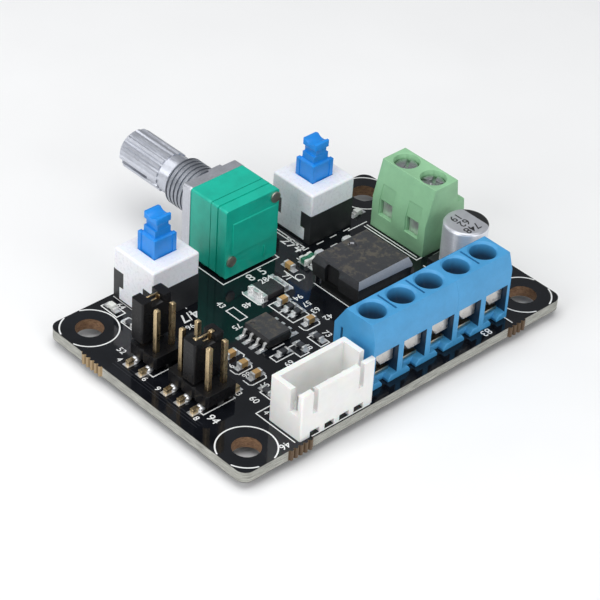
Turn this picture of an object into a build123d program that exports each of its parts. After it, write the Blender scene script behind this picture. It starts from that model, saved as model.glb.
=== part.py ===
from build123d import *
import math
import os

# Servo driver board: millimetres, +Z up, origin at the centre of the four mounting
# holes on the underside of the board.

# Board
BOARD_LENGTH = 57.15
BOARD_WIDTH = 38.10
BOARD_THICKNESS = 1.6
BOARD_CORNER_RADIUS = 1.5
MOUNT_SPACING_X = 49.53
MOUNT_SPACING_Y = 30.48
MOUNT_HOLE_RADIUS = 1.9
TOP = BOARD_THICKNESS
TAB_TOOTH_PITCH = 0.8
TAB_TOOTH_RADIUS = 0.28
LEAD_TAIL = -1.3
SOLDER_RADIUS = 0.95
SOLDER_HEIGHT = 0.9
PAD_THICKNESS = 0.05
SEAT = TOP + PAD_THICKNESS

# Square contact pins
PIN_SIDE = 0.64
PIN_HOLE_RADIUS = 0.5

# Potentiometer
POT_X = 0.1
POT_Z = 8.5
POT_HALF_WIDTH = 4.65
POT_BODY_BOTTOM = 1.9
POT_BODY_TOP = 12.77
POT_REAR_Y = 11.9
POT_SPLIT_Y = 15.1
POT_FRONT_Y = 19.05
POT_PLATE_THICKNESS = 1.55
POT_CAVITY_RADIUS = 3.45
POT_WIPER_RADIUS = 3.0
POT_WIPER_THICKNESS = 0.8
BUSHING_RADIUS = 3.5
BUSHING_END_Y = 26.0
SHAFT_NECK_RADIUS = 2.5
SHAFT_RADIUS = 3.0
SHAFT_CLEARANCE = 0.05
SHAFT_SHOULDER_Y = 26.2
KNURL_START_Y = 28.2
SHAFT_END_Y = 36.4
KNURL_TEETH = 18
KNURL_DEPTH = 0.22
SHAFT_SLOT_WIDTH = 1.0
SHAFT_SLOT_DEPTH = 6.0
SHAFT_SLOT_TILT = -22
RIVET_HEAD_RADIUS = 0.8
RIVET_RADIUS = 0.45
RIVET_PLACES = [(-3.5, 4.5), (4.0, 11.7)]
POT_PIN_ROWS = (13.4, 17.3)
POT_PIN_PITCH = 2.5

# Push switches
SWITCH_PLACES = [(-14.05, 14.7, 0.15), (13.95, 14.8, 0.0)]
SWITCH_HALF = 3.95
SWITCH_FRAME_BOTTOM = 1.9
SWITCH_FRAME_TOP = 9.7
SWITCH_FACE_BOTTOM = 6.3
SWITCH_NOTCH_Z = 3.8
SWITCH_WALL = 0.7
SWITCH_ROOF = 0.8
PLUNGER_X = 3.7
PLUNGER_Y = 3.4
PLUNGER_SHOULDER_TOP = 12.35
PLUNGER_TOP = 15.35
PLUNGER_COLUMN = 0.6
PLUNGER_PANEL_DEPTH = 0.12
PLUNGER_CLEARANCE = 0.08
PLUNGER_FLANGE = 5.4
PLUNGER_FLANGE_BOTTOM = 7.9
SPRING_FLOOR = 2.6
SPRING_RADIUS = 1.4
SPRING_WIRE_RADIUS = 0.15
SPRING_TURNS = 6

# Two-way green terminal, wires enter from +X
GREEN_Y = (-0.86, 9.26)
GREEN_WAYS = (1.66, 6.74)
GREEN_SCREW_X = 23.6
GREEN_TOP = 12.0
GREEN_WELL_RADIUS = 1.85
GREEN_WELL_FLOOR = 9.9
GREEN_FLOOR = 2.2

# Five blue ways, wires enter from -Y
BLUE_START_X = -5.52
BLUE_PITCH = 5.0
BLUE_SCREW_Y = -13.97
BLUE_TOP = 11.7
BLUE_BACK_Y = -9.95
BLUE_FRONT_Y = -17.2
BLUE_WELL_RADIUS = 1.8
WELL_CHAMFER = 0.3
BLUE_BAND_BOTTOM = 7.05
BLUE_WALL = 0.9
BLUE_FOOT_HALF = 1.97
BLUE_FOOT_HEIGHT = 1.0

# Screws
SCREW_HEAD_RADIUS = 1.65
SCREW_RADIUS = 1.25
SCREW_CLEARANCE = 0.06
SCREW_SLOT = 0.55

# White four-pin header
WHITE_X = (-19.15, -6.75)
WHITE_Y = (-18.75, -13.0)
WHITE_TOP = 8.6
WHITE_WALL = 0.8
WHITE_PINS_X = (-16.7, -14.2, -11.7, -9.2)
WHITE_PINS_Y = -15.9

# Pin headers with jumper caps
HEADER_PITCH = 2.54
HEADER_PIN_TOP = 10.75
HEADER_BASE_TOP = 4.15
HEADER_BASE_BOTTOM = 1.75
HEADER_A_X = -22.02
HEADER_A_ROWS = (6.24, 3.70)
HEADER_B_X = -21.95
HEADER_B_ROWS = (-1.09, -3.63, -6.17)
HEADER_FOOT_REACH = 2.65
CAP_X = 4.85
CAP_Y = 2.3
CAP_LOBE = 1.45
CAP_PLACES = [(HEADER_A_X, 6.24, 4.9, 11.1), (HEADER_B_X, -3.63, 4.5, 10.6)]

# Can capacitor
CAN_X = 22.65
CAN_Y = -5.8
CAN_RADIUS = 3.12
CAN_TOP = 9.3
CAN_BASE_HALF = 3.3
CAN_BASE_TOP = 2.9

# Regulator
REG_X = (4.6, 14.65)
REG_Y = (-4.15, 4.85)
REG_TOP = 6.1
REG_SPLIT = 4.95
REG_BOTTOM = 2.9
REG_LEAD_X = (7.08, 12.16)
REG_STUB_X = 9.62

# Eight-lead chip
IC_X = -7.95
IC_Y = -0.4
IC_HALF_X = 1.95
IC_HALF_Y = 2.45
IC_TOP = 3.25
IC_LEAD_Y = (1.505, 0.235, -1.035, -2.305)

# Resettable fuse
FUSE_X = (-3.55, 0.95)
FUSE_Y = (5.15, 8.35)
FUSE_TOP = 2.5

# Chip parts: centre x, centre y, long along X
RESISTOR_PLACES = [
    (-1.58, 2.13, True), (-1.60, 0.75, True), (-8.77, -4.35, True), (-3.10, -4.89, False),
    (-6.10, -4.87, False), (-15.68, -8.93, False), (-20.2, 12.6, False),
]
CAPACITOR_PLACES = [
    (-1.42, 3.68, True), (-1.59, -1.74, True), (-14.38, -0.62, True), (-14.55, -3.12, True),
    (-14.62, -5.67, True), (4.45, 8.8, False),
]
LED_PLACES = [(-19.80, 16.76, False), (20.39, 12.22, True)]
GREEN_LED = (6.4, 8.5, 7.6, 9.1)
GREEN_LED_STRIP = 0.7
CHIP_LENGTH = 1.6
CHIP_WIDTH = 0.8
CHIP_CAP_LENGTH = 0.3
RESISTOR_HEIGHT = 0.5
CAPACITOR_HEIGHT = 0.8
LED_HEIGHT = 0.7


def block(x0, x1, y0, y1, z0, z1):
    """Rectangular block between the given limits."""
    centre = Pos((x0 + x1) / 2, (y0 + y1) / 2, (z0 + z1) / 2)
    return centre * Box(abs(x1 - x0), abs(y1 - y0), abs(z1 - z0))


def round_post(x, y, z0, z1, radius):
    """Vertical cylinder."""
    return Pos(x, y, (z0 + z1) / 2) * Cylinder(radius, z1 - z0)


def lying_post(x, z, y0, y1, radius):
    """Cylinder along Y."""
    return Pos(x, (y0 + y1) / 2, z) * Rot(90, 0, 0) * Cylinder(radius, y1 - y0)


def prism_x(points, x0, x1):
    """Outline in Y and Z carried along X."""
    face = Plane.YZ * make_face(Polyline(*points, close=True))
    return Pos(x0, 0, 0) * extrude(face, x1 - x0)


def prism_y(points, y0, y1):
    """Outline in X and Z carried along Y."""
    face = Plane.XZ * make_face(Polyline(*points, close=True))
    return Pos(0, y1, 0) * extrude(face, y1 - y0)


def prism_z(points, z0, z1):
    """Outline in X and Y carried along Z."""
    face = make_face(Polyline(*points, close=True))
    return Pos(0, 0, z0) * extrude(face, z1 - z0)


def soften(shape, axis, amount):
    """Round the edges that run along one axis."""
    return fillet(shape.edges().filter_by(axis), amount)


def square_pin(x, y, z0, z1, side=PIN_SIDE):
    """Square pin with a small pyramid point at its top."""
    pin = block(x - side / 2, x + side / 2, y - side / 2, y + side / 2, z0, z1)
    return chamfer(pin.faces().sort_by(Axis.Z)[-1].edges(), side / 4)


def save(node, shapes):
    """Write one node, as one solid or as a group of separate solids."""
    shapes = shapes if isinstance(shapes, list) else [shapes]
    solids = [solid for shape in shapes for solid in shape.solids()]
    export_step(solids[0] if len(solids) == 1 else Compound(children=solids), f"parts/{node}.step")


def pot_pin_places():
    """X and Y of the six potentiometer pins."""
    return [(POT_X + step * POT_PIN_PITCH, row) for row in POT_PIN_ROWS for step in (-1, 0, 1)]


def switch_pin_places():
    """X and Y of the six pins of each switch."""
    return [(x + dx, y + dy) for x, y, _ in SWITCH_PLACES for dx in (-2, 0, 2) for dy in (-2.5, 2.5)]


def blue_way_x(way):
    """X of the middle of one blue way."""
    return BLUE_START_X + BLUE_PITCH * (way + 0.5)


def lead_places():
    """X and Y of every lead that passes through the board."""
    places = pot_pin_places() + switch_pin_places()
    places += [(21.8, y) for y in GREEN_WAYS]
    places += [(blue_way_x(way), -11.2) for way in range(5)]
    places += [(x, WHITE_PINS_Y) for x in WHITE_PINS_X]
    return places


def pcb():
    """Board with mounting holes, lead holes and the teeth left where tabs were snapped off."""
    outline = RectangleRounded(BOARD_LENGTH, BOARD_WIDTH, BOARD_CORNER_RADIUS)
    board = extrude(outline, BOARD_THICKNESS)
    teeth = []
    for x_first, count in ((-20.8, 5), (18.4, 4)):
        teeth += [(x_first + step * TAB_TOOTH_PITCH, -BOARD_WIDTH / 2) for step in range(count)]
    teeth += [(-BOARD_LENGTH / 2, 8.4 + step * TAB_TOOTH_PITCH) for step in range(5)]
    for x, y in teeth:
        board += round_post(x, y, 0, BOARD_THICKNESS, TAB_TOOTH_RADIUS)
    for sx in (-1, 1):
        for sy in (-1, 1):
            x = sx * MOUNT_SPACING_X / 2
            y = sy * MOUNT_SPACING_Y / 2
            board -= round_post(x, y, -1, TOP + 1, MOUNT_HOLE_RADIUS)
    for x, y in lead_places():
        board -= round_post(x, y, -1, TOP + 1, PIN_HOLE_RADIUS)
    return board


def solder_joints():
    """Cone of solder round each lead under the board."""
    cones = []
    for x, y in lead_places():
        height = SOLDER_HEIGHT
        cone = Pos(x, y, -height / 2) * Rot(180, 0, 0) * Cone(SOLDER_RADIUS, 0.5, height)
        cones.append(cone - round_post(x, y, -2, 1, PIN_HOLE_RADIUS))
    return cones


def surface_pads():
    """Solder pads on the top face under the surface-mounted leads."""
    pads = []
    for x, rows in ((HEADER_A_X, HEADER_A_ROWS), (HEADER_B_X, HEADER_B_ROWS)):
        for y in rows:
            for side in (-1, 1):
                centre = x + side * 3.35
                pads.append(block(centre - 0.9, centre + 0.9, y - 0.55, y + 0.55, TOP, SEAT))
    for y in IC_LEAD_Y:
        for side in (-1, 1):
            centre = IC_X + side * 2.75
            pads.append(block(centre - 0.85, centre + 0.85, y - 0.3, y + 0.3, TOP, SEAT))
    for x, y, along_x in RESISTOR_PLACES + CAPACITOR_PLACES + LED_PLACES:
        for side in (-1, 1):
            dx = side * 0.8 if along_x else 0
            dy = 0 if along_x else side * 0.8
            hx = 0.5 if along_x else 0.45
            hy = 0.45 if along_x else 0.5
            pads.append(block(x + dx - hx, x + dx + hx, y + dy - hy, y + dy + hy, TOP, SEAT))
    x0, x1, y0, y1 = GREEN_LED
    pads.append(block(x0 - 0.2, x0 + 0.6, y0, y1, TOP, SEAT))
    pads.append(block(x1 - 0.6, x1 + 0.2, y0, y1, TOP, SEAT))
    middle_y = sum(FUSE_Y) / 2
    for x in FUSE_X:
        pads.append(block(x - 0.75, x + 0.75, middle_y - 1.7, middle_y + 1.7, TOP, SEAT))
    for side in (-1, 1):
        centre = CAN_Y + side * 2.9
        pads.append(block(CAN_X - 0.9, CAN_X + 0.9, centre - 1.6, centre + 1.6, TOP, SEAT))
    for x in REG_LEAD_X:
        pads.append(block(x - 0.7, x + 0.7, 5.7, 7.35, TOP, SEAT))
    pads.append(block(5.6, 13.6, -5.9, 3.0, TOP, SEAT))
    return pads


def pot_pins():
    """Six flat potentiometer pins."""
    return [block(x - 0.35, x + 0.35, y - 0.2, y + 0.2, LEAD_TAIL, 3.4) for x, y in pot_pin_places()]


def pot_housing(y0, y1, pins, screws, open_low, open_high):
    """One deck of the potentiometer, hollow round the shaft, with two feet."""
    x0 = POT_X - POT_HALF_WIDTH
    x1 = POT_X + POT_HALF_WIDTH
    deck = soften(block(x0, x1, y0, y1, POT_BODY_BOTTOM, POT_BODY_TOP), Axis.Y, 0.35)
    for side in (-1, 1):
        foot_x = POT_X + side * 3.9
        deck += block(foot_x - 0.4, foot_x + 0.4, y0 + 1.0, y0 + 1.8, TOP, POT_BODY_BOTTOM + 0.2)
    cavity_start = y0 - 1 if open_low else y0 + 0.8
    cavity_end = y1 + 1 if open_high else y1 - 0.8
    deck -= lying_post(POT_X, POT_Z, cavity_start, cavity_end, POT_CAVITY_RADIUS)
    if not open_high:
        deck -= lying_post(POT_X, POT_Z, y0 - 1, y1 + 1, SHAFT_NECK_RADIUS + SHAFT_CLEARANCE)
    for pin in pins + screws:
        deck -= pin
    return deck


def pot_rear_housing(pins, rivets):
    """Rear deck with its raised back panel."""
    deck = pot_housing(POT_REAR_Y, POT_SPLIT_Y, pins, [], False, True)
    panel = block(-3.4, 4.3, POT_REAR_Y - 0.16, POT_REAR_Y + 0.1, 5.3, 10.45)
    deck += chamfer(panel.faces().sort_by(Axis.Y)[0].edges(), 0.1)
    deck += block(2.3, 2.5, POT_REAR_Y - 0.12, POT_REAR_Y + 0.1, 2.8, 4.5)
    ring = block(-6, 6, 13.5, 13.75, 0, 20)
    deck -= ring - block(POT_X - 4.52, POT_X + 4.52, 13, 14, POT_BODY_BOTTOM + 0.12, POT_BODY_TOP - 0.12)
    groove = block(-6, 6, POT_SPLIT_Y - 0.12, POT_SPLIT_Y + 1, 0, 20)
    core = block(POT_X - 4.5, POT_X + 4.5, 14, 16, POT_BODY_BOTTOM + 0.15, POT_BODY_TOP - 0.15)
    deck -= groove - core
    for rivet in rivets:
        deck -= rivet
    return deck


def pot_front_housing(pins, rivets):
    """Front deck behind the metal plate."""
    deck = pot_housing(POT_SPLIT_Y, POT_FRONT_Y, pins, [], True, False)
    for rivet in rivets:
        deck -= rivet
    return deck


def pot_front_plate(rivets):
    """Die-cast plate across the front of the potentiometer."""
    y1 = POT_FRONT_Y + POT_PLATE_THICKNESS
    plate = block(POT_X - 4.75, POT_X + 4.75, POT_FRONT_Y, y1, 1.9, 12.8)
    plate = soften(plate, Axis.Y, 0.5)
    plate += block(POT_X + 0.4, POT_X + 2.5, y1 - 0.1, y1 + 0.8, 12.05, 12.45)
    plate -= lying_post(POT_X, POT_Z, POT_FRONT_Y - 1, y1 + 1, SHAFT_NECK_RADIUS + SHAFT_CLEARANCE)
    for rivet in rivets:
        plate -= rivet
    return plate


def pot_bushing():
    """M7 bushing with an undercut root, thread grooves and a chamfered mouth."""
    start = POT_FRONT_Y + POT_PLATE_THICKNESS
    bushing = lying_post(POT_X, POT_Z, start, BUSHING_END_Y, BUSHING_RADIUS)
    bushing = chamfer(bushing.edges().sort_by(Axis.Y)[-1], 0.35)
    undercut = lying_post(POT_X, POT_Z, start, start + 1.0, BUSHING_RADIUS + 1)
    bushing -= undercut - lying_post(POT_X, POT_Z, start - 1, start + 2, BUSHING_RADIUS - 0.22)
    y = start + 0.9
    while y < BUSHING_END_Y - 0.6:
        ring = lying_post(POT_X, POT_Z, y, y + 0.3, BUSHING_RADIUS + 1)
        bushing -= ring - lying_post(POT_X, POT_Z, y - 1, y + 1, BUSHING_RADIUS - 0.22)
        y += 0.75
    return bushing - lying_post(POT_X, POT_Z, start - 1, 30, SHAFT_NECK_RADIUS + SHAFT_CLEARANCE)


def pot_rivets():
    """Two rivets through both decks into the plate."""
    rivets = []
    for x, z in RIVET_PLACES:
        shank = lying_post(x, z, POT_REAR_Y, POT_FRONT_Y + 1.0, RIVET_RADIUS)
        head = lying_post(x, z, POT_REAR_Y - 0.25, POT_REAR_Y + 0.2, RIVET_HEAD_RADIUS)
        rivets.append(shank + head)
    return rivets


def pot_shaft():
    """Shaft with a splined, slotted end and a flat that drives the wipers."""
    shaft = lying_post(POT_X, POT_Z, 13.2, SHAFT_SHOULDER_Y, SHAFT_NECK_RADIUS)
    shaft += lying_post(POT_X, POT_Z, SHAFT_SHOULDER_Y, KNURL_START_Y, SHAFT_RADIUS - 0.25)
    points = []
    for step in range(KNURL_TEETH):
        for part, radius in ((0, SHAFT_RADIUS), (0.35, SHAFT_RADIUS), (0.55, SHAFT_RADIUS - KNURL_DEPTH),
                             (0.8, SHAFT_RADIUS - KNURL_DEPTH)):
            angle = 2 * math.pi * (step + part) / KNURL_TEETH
            points.append((POT_X + radius * math.cos(angle), POT_Z + radius * math.sin(angle)))
    knurl = prism_y(points, KNURL_START_Y, SHAFT_END_Y)
    tip = chamfer(lying_post(POT_X, POT_Z, 20, SHAFT_END_Y, SHAFT_RADIUS + 0.01).edges().sort_by(Axis.Y)[-1], 0.5)
    shaft += knurl & tip
    slot_y = SHAFT_END_Y - SHAFT_SLOT_DEPTH
    slot = Pos(POT_X, slot_y + 10, POT_Z) * Rot(0, SHAFT_SLOT_TILT, 0) * Box(10, 20, SHAFT_SLOT_WIDTH)
    return shaft - slot


def pot_wipers(shaft):
    """Wiper disc of each deck, pressed on the shaft."""
    wipers = []
    for y in (13.4, 16.4):
        disc = lying_post(POT_X, POT_Z, y, y + POT_WIPER_THICKNESS, POT_WIPER_RADIUS)
        wipers.append(disc - lying_post(POT_X, POT_Z, y - 1, y + 2, SHAFT_NECK_RADIUS))
    return wipers


def switch_frame(x, y):
    """White frame: roof and four walls, the Y walls ending above the base."""
    h = SWITCH_HALF
    frame = block(x - h, x + h, y - h, y + h, SWITCH_FRAME_BOTTOM, SWITCH_FRAME_TOP)
    frame = soften(frame, Axis.Z, 0.3)
    frame = fillet(frame.faces().sort_by(Axis.Z)[-1].edges(), 0.35)
    inner = h - SWITCH_WALL
    roof_z = SWITCH_FRAME_TOP - SWITCH_ROOF
    frame -= block(x - inner, x + inner, y - inner, y + inner, 0, roof_z)
    frame -= block(x - inner, x + inner, y - 9, y + 9, 0, SWITCH_FACE_BOTTOM)
    for side in (-1, 1):
        frame -= block(x - 9, x + 9, y + side * (h - 2.0), y + side * 9, SWITCH_NOTCH_Z, SWITCH_FACE_BOTTOM)
        frame -= block(x - 9, x + 9, y + side * (h - 1.2), y + side * 9, 0, SWITCH_NOTCH_Z + 0.01)
    hx = PLUNGER_X / 2 + PLUNGER_CLEARANCE
    hy = PLUNGER_Y / 2 + PLUNGER_CLEARANCE
    return frame - block(x - hx, x + hx, y - hy, y + hy, 0, 20)


def switch_base(x, y, frame, pins):
    """Black base that fills the lower half, with a well for the spring."""
    h = SWITCH_HALF
    base = block(x - h, x + h, y - h, y + h, TOP, SWITCH_FACE_BOTTOM)
    inner = h - SWITCH_WALL
    for side in (-1, 1):
        base -= block(x + side * inner, x + side * 9, y - h + 2.0, y + h - 2.0, SWITCH_FRAME_BOTTOM, 9)
        base -= block(x + side * inner, x + side * 9, y - h + 1.2, y + h - 1.2, SWITCH_FRAME_BOTTOM, SWITCH_NOTCH_Z)
    well = PLUNGER_FLANGE / 2 + 0.1
    base -= block(x - well, x + well, y - well, y + well, SPRING_FLOOR, 9)
    for pin in pins:
        base -= pin
    return base


def switch_plunger(x, y, lift):
    """Blue plunger: flange, shoulder with corner columns, neck and grooved head."""
    hx = PLUNGER_X / 2
    hy = PLUNGER_Y / 2
    shoulder = PLUNGER_SHOULDER_TOP + lift
    top = PLUNGER_TOP + lift
    px = hx - PLUNGER_PANEL_DEPTH
    py = hy - PLUNGER_PANEL_DEPTH
    body = block(x - px, x + px, y - py, y + py, PLUNGER_FLANGE_BOTTOM, shoulder)
    body = chamfer(body.faces().sort_by(Axis.Z)[-1].edges(), 0.2)
    f = PLUNGER_FLANGE / 2
    body += block(x - f, x + f, y - f, y + f, PLUNGER_FLANGE_BOTTOM, PLUNGER_FLANGE_BOTTOM + 0.9)
    reach = PLUNGER_COLUMN / 2
    for sx in (-1, 1):
        for sy in (-1, 1):
            cx = x + sx * (hx - reach)
            cy = y + sy * (hy - reach)
            column = block(cx - reach, cx + reach, cy - reach, cy + reach, PLUNGER_FLANGE_BOTTOM, shoulder + 0.08)
            body += chamfer(column.faces().sort_by(Axis.Z)[-1].edges(), 0.08)
    body += block(x - 1.3, x + 1.3, y - 1.15, y + 1.15, shoulder - 0.5, top - 1.95)
    body += block(x - 0.95, x + 0.95, y - 1.1, y + 1.1, top - 2.0, top - 0.9)
    head = block(x - 1.25, x + 1.25, y - 1.35, y + 1.35, top - 1.1, top)
    head = chamfer(head.edges().filter_by(Axis.Z), 0.15)
    head = chamfer(head.faces().sort_by(Axis.Z)[0].edges(), 0.2)
    saddle = Pos(x, y, top + 0.75) * Rot(0, 90, 0) * Cylinder(1.15, 4)
    return body + head - saddle


def switch_spring(x, y):
    """Compression spring between base and plunger."""
    low = SPRING_FLOOR + SPRING_WIRE_RADIUS + 0.02
    high = PLUNGER_FLANGE_BOTTOM - SPRING_WIRE_RADIUS - 0.02
    path = Helix((high - low) / SPRING_TURNS, high - low, SPRING_RADIUS)
    profile = Plane(origin=path @ 0, z_dir=path % 0) * Circle(SPRING_WIRE_RADIUS)
    return Pos(x, y, low) * sweep(profile, path=path, is_frenet=True)


def switch_pins():
    """Flat pins of both switches."""
    return [block(x - 0.3, x + 0.3, y - 0.15, y + 0.15, LEAD_TAIL, 2.3) for x, y in switch_pin_places()]


def green_housing():
    """Two-way housing with screw wells, wire mouths and side windows."""
    points = [(20.1, TOP), (20.1, 6.5), (21.5, GREEN_TOP), (25.8, GREEN_TOP), (26.2, 8.4), (27.5, 8.3),
              (28.2, TOP)]
    body = prism_y(points, *GREEN_Y)
    for y in GREEN_WAYS:
        body -= round_post(GREEN_SCREW_X, y, 5, 20, GREEN_WELL_RADIUS)
        body -= block(21.3, 25.7, y - 1.95, y + 1.95, GREEN_FLOOR, GREEN_WELL_FLOOR)
        body -= block(25, 30, y - 1.75, y + 1.75, 3.0, 7.2)
        body -= block(19, 22, y - 1.15, y + 1.15, 4.0, 6.4)
        body -= block(20.9, 22.2, y - 0.75, y + 0.75, TOP - 1, 3)
        body -= prism_y([(19, 4.0), (20.4, 4.0), (20.4, 6.5), (20.75, 8.8), (19, 8.8)], y - 1.3, y + 1.3)
        body -= block(20.85, 22.6, y - 1.15, y + 1.15, GREEN_FLOOR - 0.1, 7.2)
    return body


def green_contacts():
    """Fixed bar of each green way, bent down into its pin."""
    contacts = []
    for y in GREEN_WAYS:
        bar = block(20.9, 25.3, y - 1.1, y + 1.1, 5.6, 6.2)
        bar += block(20.9, 21.45, y - 1.1, y + 1.1, 2.3, 6.2)
        bar += block(20.9, 22.05, y - 1.1, y + 1.1, 2.3, 2.8)
        bar += block(21.5, 22.05, y - 0.38, y + 0.38, LEAD_TAIL, 2.4)
        contacts.append(bar)
    return contacts


def green_clamp(y):
    """Rising cage of one green way."""
    cage = block(22.3, 25.3, y - 1.85, y + 1.85, 2.5, 8.1)
    cage -= block(22, 26, y - 1.3, y + 1.3, 3.0, 7.3)
    return cage - round_post(GREEN_SCREW_X, y, 0, 20, SCREW_RADIUS + SCREW_CLEARANCE)


def screw(x, y, tip, under_head, top, cross):
    """Screw with threads and a slotted or crossed head."""
    body = round_post(x, y, tip, under_head + 0.1, SCREW_RADIUS)
    body = chamfer(body.edges().sort_by(Axis.Z)[0], 0.3)
    z = tip + 0.6
    while z < under_head - 0.4:
        ring = round_post(x, y, z, z + 0.22, SCREW_RADIUS + 1)
        body -= ring - round_post(x, y, z - 1, z + 1, SCREW_RADIUS - 0.18)
        z += 0.5
    head = round_post(x, y, under_head, top, SCREW_HEAD_RADIUS)
    head = fillet(head.edges().sort_by(Axis.Z)[-1], 0.25)
    body += head
    for turn in ((30, 120) if cross else (30,)):
        body -= Pos(x, y, top) * Rot(0, 0, turn) * Box(4.2, SCREW_SLOT, 1.0)
    return body


def blue_housing(first, count):
    """Blue terminal block of a few ways, open at the front below the band."""
    x0 = BLUE_START_X + BLUE_PITCH * first
    x1 = x0 + BLUE_PITCH * count
    points = [(BLUE_BACK_Y, TOP), (BLUE_BACK_Y, 8.6), (-11.85, BLUE_TOP), (-16.45, BLUE_TOP),
              (BLUE_FRONT_Y, 9.4), (BLUE_FRONT_Y, TOP)]
    body = prism_x(points, x0, x1)
    for way in range(first, first + count):
        x = blue_way_x(way)
        half = (BLUE_PITCH - BLUE_WALL) / 2
        body -= block(x - half, x + half, -18, -10.7, 2.6, BLUE_BAND_BOTTOM)
        body -= block(x - 2.0, x + 2.0, -16.6, -10.7, BLUE_BAND_BOTTOM - 0.1, 8.35)
        body -= block(x - 0.55, x + 0.55, -18, -16.2, 0, 3)
        body -= round_post(x, BLUE_SCREW_Y, 5, 20, BLUE_WELL_RADIUS)
        mouth = Cone(BLUE_WELL_RADIUS, BLUE_WELL_RADIUS + 2 * WELL_CHAMFER, 2 * WELL_CHAMFER)
        body -= Pos(x, BLUE_SCREW_Y, BLUE_TOP) * mouth
        for side in (-1, 1):
            corner = [(x + side * 0.5, 2.9), (x + side * 0.5, 1.9), (x + side * 1.2, 2.9)]
            body -= prism_y(corner, -18, -16.2)
        body -= block(x - 0.65, x + 0.65, -11.9, -10.7, 0, 3)
        if way > first:
            edge = x - BLUE_PITCH / 2
            body -= block(edge - 0.16, edge + 0.16, -15.7, -12.2, BLUE_TOP - 1.2, BLUE_TOP + 1)
    for edge, inward in ((x0, 1), (x1, -1)):
        body -= block(edge, edge + inward * 0.25, -11.5, -11.1, 3, 8.4)
    return body


def blue_contacts():
    """Fixed cup of each blue way with its threaded bridge and pin."""
    contacts = []
    for way in range(5):
        x = blue_way_x(way)
        cup = block(x - 1.7, x + 1.7, -16.0, -11.0, 2.65, 3.15)
        cup += block(x - 1.7, x + 1.7, -11.45, -11.0, 2.65, 6.7)
        cup += block(x - 1.7, x + 1.7, -15.3, -11.0, 6.0, 6.7)
        cup -= round_post(x, BLUE_SCREW_Y, 5, 8, SCREW_RADIUS + SCREW_CLEARANCE)
        cup += block(x - 0.38, x + 0.38, -11.45, -10.95, LEAD_TAIL, 3.0)
        contacts.append(cup)
    return contacts


def blue_clamp(way):
    """Pressure plate under one blue screw, with a front apron relieved at one lower corner."""
    x = blue_way_x(way)
    points = [(-12.0, 4.4), (-12.0, 3.9), (-15.7, 3.9), (-16.35, 4.35), (-16.35, 6.8), (-16.1, 6.8), (-16.1, 4.4)]
    relief = [(x - 2, 3), (x - 0.2, 3), (x - 0.2, 4.3), (x - 1.2, 5.6), (x - 2, 5.6)]
    return prism_x(points, x - 1.9, x + 1.9) - prism_y(relief, -16.5, -15.6)


def white_housing(pins):
    """Open box of the four-pin header, with key slots."""
    x0, x1 = WHITE_X
    y0, y1 = WHITE_Y
    box = soften(block(x0, x1, y0, y1, TOP, WHITE_TOP), Axis.Z, 0.25)
    inside = block(x0 + WHITE_WALL, x1 - WHITE_WALL, y0 + WHITE_WALL, y1 - WHITE_WALL, 3.1, 20)
    box -= inside
    box -= block(x0 - 1, x1 + 1, -18.0, -16.6, 5.2, 20)
    for x in (-16.85, x0 + x1 + 16.85):
        box -= block(x - 0.4, x + 0.4, y0 - 1, y0 + 1, 5.1, 20)
    for x in WHITE_PINS_X:
        box -= block(x - 0.82, x + 0.82, y0 - 1, y0 + 0.7, 0, TOP + 0.9)
    for pin in pins:
        box -= pin
    return box


def white_pins():
    """Four header pins."""
    return [square_pin(x, WHITE_PINS_Y, LEAD_TAIL, 6.1) for x in WHITE_PINS_X]


def header_pins():
    """Header pins, each with a foot lying on its pad."""
    pins = []
    for centre, rows in ((HEADER_A_X, HEADER_A_ROWS), (HEADER_B_X, HEADER_B_ROWS)):
        for y in rows:
            for side in (-1, 1):
                x = centre + side * HEADER_PITCH / 2
                pin = square_pin(x, y, SEAT, HEADER_PIN_TOP)
                end = x + side * HEADER_FOOT_REACH
                pins.append(pin + block(x, end, y - PIN_SIDE / 2, y + PIN_SIDE / 2, SEAT, SEAT + PIN_SIDE))
    return pins


def header_base(centre, rows, pins):
    """Plastic carrier with a chamfered block round each pin pair and feet on the board."""
    base = None
    for y in rows:
        lump = block(centre - 2.54, centre + 2.54, y - 1.27, y + 1.27, HEADER_BASE_BOTTOM + 0.65, HEADER_BASE_TOP)
        lump = chamfer(lump.edges().filter_by(Axis.Z), 0.3)
        base = lump if base is None else base + lump
    base += block(centre - 0.5, centre + 0.5, min(rows) - 1.1, max(rows) + 1.1, TOP, HEADER_BASE_TOP - 0.5)
    for pin in pins:
        base -= pin
    return base


def jumper_clip(x, y, top):
    """Clip joining two pins: a windowed bridge with a square sleeve at each end."""
    clip = block(x - 0.88, x + 0.88, y - 0.12, y + 0.12, top - 3.0, top - 0.08)
    clip -= block(x - 0.68, x + 0.68, y - 1, y + 1, top - 0.95, top - 0.3)
    for side in (-1, 1):
        cx = x + side * HEADER_PITCH / 2
        sleeve = block(cx - 0.55, cx + 0.55, y - 0.55, y + 0.55, top - 5.0, top - 2.0)
        clip += sleeve - block(cx - 0.37, cx + 0.37, y - 0.37, y + 0.37, 0, 20)
    return clip


def jumper_cap(x, y, bottom, top, clip, closed):
    """Jumper cap with a lobe at each end and a lower middle."""
    cap = soften(block(x - CAP_X / 2, x + CAP_X / 2, y - CAP_Y / 2, y + CAP_Y / 2, bottom, top), Axis.Z, 0.3)
    middle = CAP_X / 2 - CAP_LOBE
    cap -= block(x - middle, x + middle, y - 3, y + 3, top - 1.0, top + 1)
    for side in (-1, 1):
        cx = x + side * HEADER_PITCH / 2
        cap -= block(cx - 0.6, cx + 0.6, y - 0.6, y + 0.6, bottom - 1, top - 1.9)
        height = top - 0.35 if closed else top + 1
        cap -= block(cx - 0.42, cx + 0.42, y - 0.42, y + 0.42, bottom - 1, height)
    return cap - clip


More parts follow.
